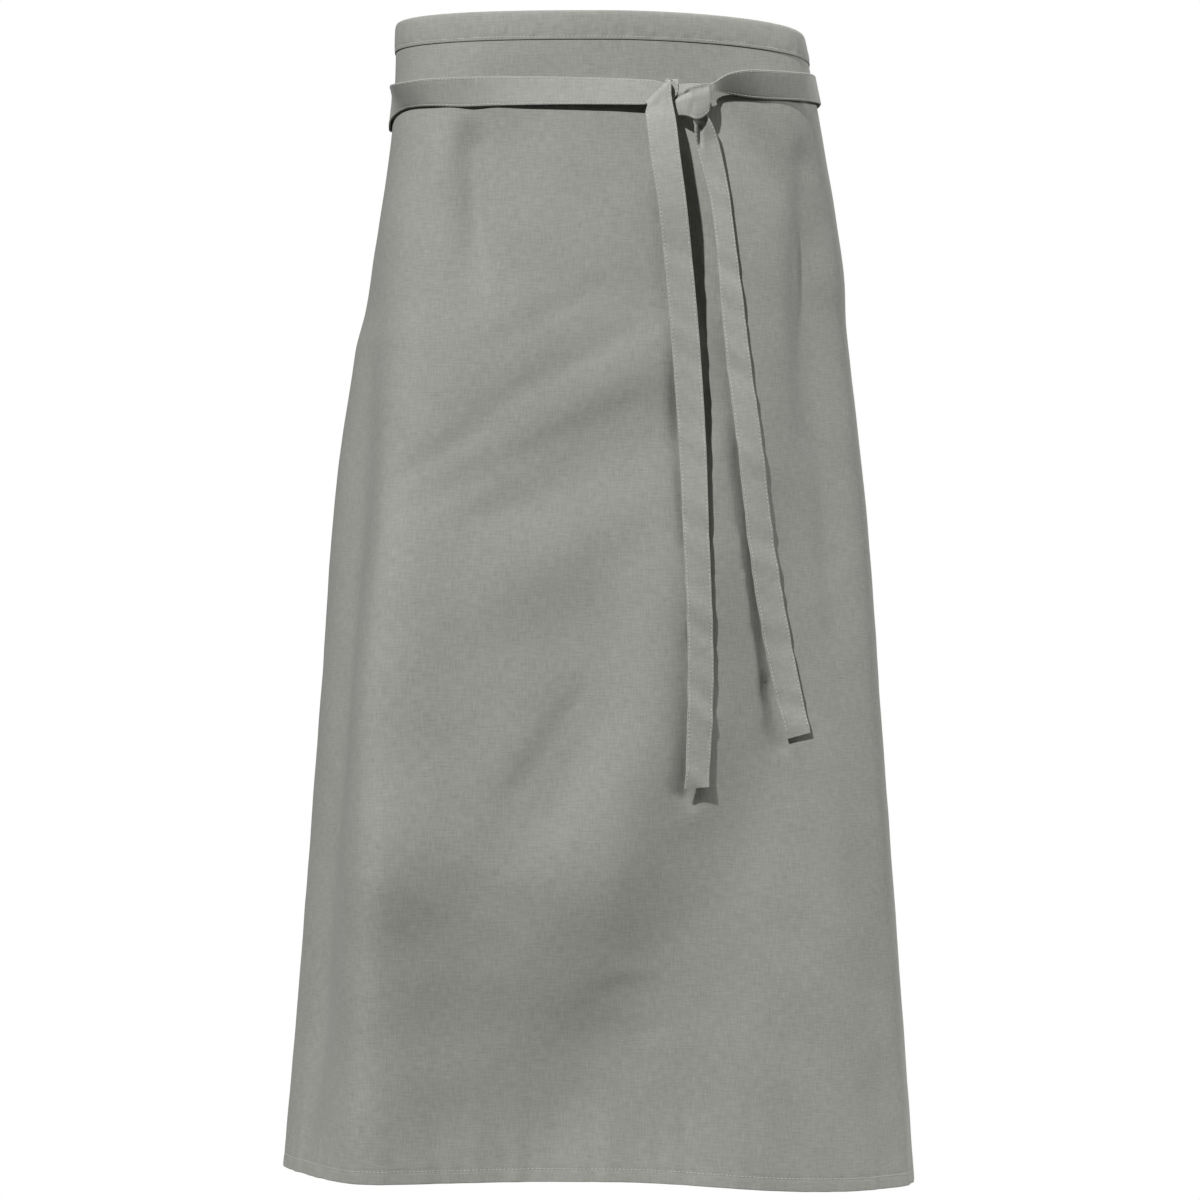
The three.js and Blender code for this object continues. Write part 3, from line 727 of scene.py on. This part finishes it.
def sew(name, tree, seams):
    """A piece of stitches along seams, each a list of points on the cloth's face."""
    points = np.concatenate(seams)
    starts = np.cumsum([0] + [len(seam) for seam in seams[:-1]])
    edges = []
    for start, seam in zip(starts, seams):
        edges += [(i, i + 1) for i in range(start, start + len(seam) - 1)]
    mesh = bpy.data.meshes.new(name + "_path")
    mesh.from_pydata((points * MM).tolist(), edges, [])
    path = bpy.data.objects.new(name, mesh)
    bpy.context.scene.collection.objects.link(path)
    modifier = path.modifiers.new("stitches", "NODES")
    modifier.node_group = tree
    sizes = {"Pitch": STITCH_PITCH, "Length": STITCH_LENGTH, "Thread": THREAD}
    for item in tree.interface.items_tree:
        if item.name in sizes:
            modifier[item.identifier] = sizes[item.name] * MM
    graph = bpy.context.evaluated_depsgraph_get()
    stitched = bpy.data.meshes.new_from_object(path.evaluated_get(graph))
    path.modifiers.remove(modifier)
    path.data = stitched
    bpy.data.meshes.remove(mesh)
    return path


# Materials
def linear(hex_colour):
    """An sRGB hex value as linear red, green and blue, and a full alpha."""
    channels = [int(hex_colour[i:i + 2], 16) / 255 for i in (1, 3, 5)]
    return [*(c / 12.92 if c <= 0.04045 else ((c + 0.055) / 1.055) ** 2.4 for c in channels), 1.0]


# Real threads lie about 0.45 mm apart, too fine to show, so the weave is drawn at two and a half times that
WEAVE_PITCH = 1.131
WAVE_RATE = 20  # radians that a wave texture turns in one unit at scale 1
SLUB_LENGTH = 11
SLUB_WIDTH = 1.3
MOTTLE = 70
NAP = 7

# Shares of the patterns in the colour and in the bump
DYE_SHARE = 0.5
NAP_SHARE = 0.5
WEAVE_SHARE = 0.6


def poly_cotton_twill(name, dark, light):
    """Sage grey poly-cotton twill, piece-dyed and pressed: matt, with a faint bloom of fibres at grazing
    angles, slubs along both threads and a slightly uneven dye."""
    material = bpy.data.materials.new(name)
    material.use_nodes = True
    tree = material.node_tree
    shader = tree.nodes["Principled BSDF"]
    uv = add_node(tree, "ShaderNodeUVMap", {"uv_map": "cloth"}).outputs["UV"]

    def streaks(along, width, shift):
        """Noise stretched to a length and width, shifted so that no two patterns agree."""
        scale = (1 / (along * MM), 1 / (width * MM), 1.0)
        place = add_node(tree, "ShaderNodeMapping", Vector=uv, Scale=scale, Location=(shift,) * 3)
        noise = add_node(tree, "ShaderNodeTexNoise", Vector=place.outputs[0], Scale=1.0, Detail=3.0)
        return noise.outputs[0]

    weft = streaks(SLUB_LENGTH, SLUB_WIDTH, 3.0)
    warp = streaks(SLUB_WIDTH, SLUB_LENGTH, 7.0)
    add = {"operation": "ADD"}
    multiply = {"operation": "MULTIPLY"}
    add_share = {"operation": "MULTIPLY_ADD"}
    mix_colours = {"data_type": "RGBA"}
    slub = add_node(tree, "ShaderNodeMath", add, i0=weft, i1=warp).outputs[0]
    dye = streaks(MOTTLE, MOTTLE, 1.0)
    nap = streaks(NAP, NAP, 5.0)
    clouded = add_node(tree, "ShaderNodeMath", add_share, i0=dye, i1=DYE_SHARE, i2=slub).outputs[0]
    mixed = add_node(tree, "ShaderNodeMath", add_share, i0=nap, i1=NAP_SHARE, i2=clouded).outputs[0]
    tone = add_node(tree, "ShaderNodeMapRange", Value=mixed, From_Min=1.0, From_Max=2.0).outputs[0]
    colour = add_node(tree, "ShaderNodeMix", mix_colours, Factor=tone, i6=linear(dark), i7=linear(light))
    tree.links.new(colour.outputs[2], shader.inputs["Base Color"])

    place = add_node(tree, "ShaderNodeMapping", Vector=uv, Scale=(1 / (WEAVE_PITCH * MM),) * 3)
    bands = [
        add_node(
            tree,
            "ShaderNodeTexWave",
            {"bands_direction": direction},
            Vector=place.outputs[0],
            Scale=math.tau / WAVE_RATE,
            Distortion=1.5,
            Detail=1.0,
        ).outputs[1]
        for direction in ("X", "Y")
    ]
    weave = add_node(tree, "ShaderNodeMath", multiply, i0=bands[0], i1=bands[1]).outputs[0]
    height = add_node(tree, "ShaderNodeMath", add_share, i0=weave, i1=WEAVE_SHARE, i2=slub).outputs[0]
    bump = add_node(tree, "ShaderNodeBump", Height=height, Strength=0.35, Distance=0.3 * MM).outputs[0]
    tree.links.new(bump, shader.inputs["Normal"])
    shader.inputs["Roughness"].default_value = 0.88
    shader.inputs["IOR"].default_value = 1.45
    shader.inputs["Specular IOR Level"].default_value = 0.25
    shader.inputs["Sheen Weight"].default_value = 0.12
    shader.inputs["Sheen Roughness"].default_value = 0.5
    return material


def polyester_thread():
    """Spun polyester sewing thread, a shade lighter than the cloth, with a soft gloss."""
    material = bpy.data.materials.new("polyester thread")
    material.use_nodes = True
    tree = material.node_tree
    shader = tree.nodes["Principled BSDF"]
    place = add_node(tree, "ShaderNodeTexCoord").outputs["Object"]
    twist = add_node(tree, "ShaderNodeTexNoise", Vector=place, Scale=1 / (2 * MM), Detail=1.0).outputs[0]
    mix_colours = {"data_type": "RGBA"}
    dark = linear("#aeafa8")
    light = linear("#d2d3cc")
    colour = add_node(tree, "ShaderNodeMix", mix_colours, Factor=twist, i6=dark, i7=light)
    tree.links.new(colour.outputs[2], shader.inputs["Base Color"])
    shader.inputs["Roughness"].default_value = 0.6
    return material


# The object
panel_cloth = poly_cotton_twill("poly-cotton twill panel", "#898a84", "#a2a39d")
band_cloth = poly_cotton_twill("poly-cotton twill band", "#8c8d87", "#a5a6a0")
# The ties are the panel's cloth, painted a shade lighter: painted light standing in for the light the belt
# catches where it faces up
tie_cloth = poly_cotton_twill("poly-cotton twill tie, painted lighter", "#959690", "#aeafa9")
stitches = stitch_tree(polyester_thread())

panel, panel_width, panel_length = make_panel(panel_cloth)
waistband, band_length, band_width = make_waistband(band_cloth)
left_strip = tie_strip(LEFT_TIE_ROUND, LEFT_TIE_FRONT, 1)
right_strip = tie_strip(RIGHT_TIE_ROUND, RIGHT_TIE_FRONT, -1)
left_tie, left_length = make_tie("left_tie_cloth", left_strip, 1, tie_cloth)
right_tie, right_length = make_tie("right_tie_cloth", right_strip, -1, tie_cloth)

side_seam = CUT_WIDTH / 2 - SIDE_STITCH_INSET
hem_seam = LENGTH - HEM_STITCH_RISE
hem_line = stations(-side_seam, side_seam, PANEL_COLUMN)
side_line = stations(BAND_HEIGHT + SIDE_STITCH_GAP, hem_seam, PANEL_ROW)
panel_lines = [(hem_line, np.full_like(hem_line, hem_seam))]
panel_lines += [(np.full_like(side_line, side * side_seam), side_line) for side in (-1, 1)]
panel_seams = [on_cloth(across, drop, relief(across, drop) + STITCH_LIFT) for across, drop in panel_lines]
panel_stitches = sew("panel_stitches", stitches, panel_seams)

band_seam = CUT_WIDTH / 2 + BAND_OVERRUN - BAND_STITCH_INSET
band_line = stations(-band_seam, band_seam, BAND_COLUMN)
band_seams = [on_cloth(band_line, BAND_STITCH_DROP, BAND_STITCH_OUT)]
band_stitches = sew("waistband_stitches", stitches, band_seams)


def tie_seams(strip):
    """Seams along both edges of a tie, on both of its faces."""
    seams = []
    for inset in (TIE_STITCH_INSET, TIE_WIDTH - TIE_STITCH_INSET):
        for face in (1, -1):
            rise = face * TIE_STITCH_SHARE * TIE_WALL / 2
            seams.append(tie_points(strip, [inset], [rise])[TIE_STITCH_ROWS, 0])
    return seams


left_stitches = sew("left_tie_stitches", stitches, tie_seams(left_strip))
right_stitches = sew("right_tie_stitches", stitches, tie_seams(right_strip))

for piece, node, slot in (
    (panel, "apron_panel", "panel_cloth"),
    (waistband, "waistband", "band_cloth"),
    (left_tie, "left_tie", "tie_cloth"),
    (right_tie, "right_tie", "tie_cloth"),
):
    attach(piece, "root")
    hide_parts(node)

for piece, slot in (
    (panel_stitches, "panel_cloth"),
    (band_stitches, "band_cloth"),
    (left_stitches, "tie_cloth"),
    (right_stitches, "tie_cloth"),
):
    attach(piece, "root")


# Studio
def make_floor():
    """A round pale floor under the apron, wide enough for its shadow and out of the photograph's frame."""
    around = np.radians(np.arange(0, 360, FLOOR_STEP))
    rim = np.stack([np.cos(around), np.sin(around)], -1) * FLOOR_RADIUS * MM
    mesh = bpy.data.meshes.new("floor")
    mesh.from_pydata([(x, y, -FLOOR_DROP * MM) for x, y in rim.tolist()], [], [list(range(len(rim)))])
    floor = bpy.data.objects.new("floor", mesh)
    bpy.context.scene.collection.objects.link(floor)
    material = bpy.data.materials.new("pale matt floor")
    material.use_nodes = True
    shader = material.node_tree.nodes["Principled BSDF"]
    shader.inputs["Base Color"].default_value = linear("#a0a09d")
    shader.inputs["Roughness"].default_value = 0.9
    mesh.materials.append(material)


def make_key(azimuth, elevation, distance, aim_drop, power, size):
    """A studio lamp: a round panel of light that faces the apron's middle line at a drop, with its azimuth
    from the front, to the viewer's right, and its elevation in degrees."""
    lamp = bpy.data.lights.new("key", "AREA")
    lamp.shape = "DISK"
    lamp.size = size * MM
    lamp.energy = power
    light = bpy.data.objects.new("key", lamp)
    bpy.context.scene.collection.objects.link(light)
    turn = math.radians(azimuth)
    tilt = math.radians(elevation)
    level = distance * math.cos(tilt)
    light.location = (
        level * math.sin(turn) * MM,
        -level * math.cos(turn) * MM,
        (distance * math.sin(tilt) - aim_drop) * MM,
    )
    light.rotation_euler = (math.pi / 2 - tilt, 0, turn)


def make_sun(name, azimuth, elevation, strength, softness):
    """A sun lamp: azimuth from the front, to the viewer's right, and height above the floor, in degrees."""
    lamp = bpy.data.lights.new(name, "SUN")
    lamp.energy = strength
    lamp.angle = math.radians(softness)
    sun = bpy.data.objects.new(name, lamp)
    bpy.context.scene.collection.objects.link(sun)
    sun.rotation_euler = (math.radians(90 - elevation), 0, math.radians(azimuth))


def make_world(ambient):
    """White behind the object, and a dimmer soft light all round it."""
    world = bpy.data.worlds.new("studio")
    world.use_nodes = True
    tree = world.node_tree
    tree.nodes.clear()
    seen = add_node(tree, "ShaderNodeLightPath").outputs["Is Camera Ray"]
    strength = add_node(tree, "ShaderNodeMapRange", Value=seen, To_Min=ambient, To_Max=1.0).outputs[0]
    light = add_node(tree, "ShaderNodeBackground", Color=(1, 1, 1, 1), Strength=strength).outputs[0]
    add_node(tree, "ShaderNodeOutputWorld", Surface=light)
    bpy.context.scene.world = world


def make_camera():
    """A level camera in front, with the photograph's frame."""
    lens = bpy.data.cameras.new("camera")
    lens.sensor_width = SENSOR
    lens.lens = SENSOR * CAMERA_DISTANCE / FRAME_WIDTH
    lens.clip_end = SIGHT * MM
    camera = bpy.data.objects.new("camera", lens)
    camera.location = (0, -(CAMERA_DISTANCE + FRONT_DEPTH) * MM, -CAMERA_DROP * MM)
    camera.rotation_euler = (math.radians(90), 0, 0)
    bpy.context.scene.collection.objects.link(camera)
    bpy.context.scene.camera = camera


make_floor()
make_key(azimuth=-29, elevation=42, distance=8000, aim_drop=300, power=790, size=260)
make_sun("fill", azimuth=40, elevation=18, strength=0.07, softness=9)
make_sun("side", azimuth=97, elevation=20, strength=2.3, softness=18)
make_sun("back", azimuth=170, elevation=35, strength=2.2, softness=30)
make_world(ambient=0.03)
make_camera()
bpy.context.scene.view_settings.view_transform = "Standard"
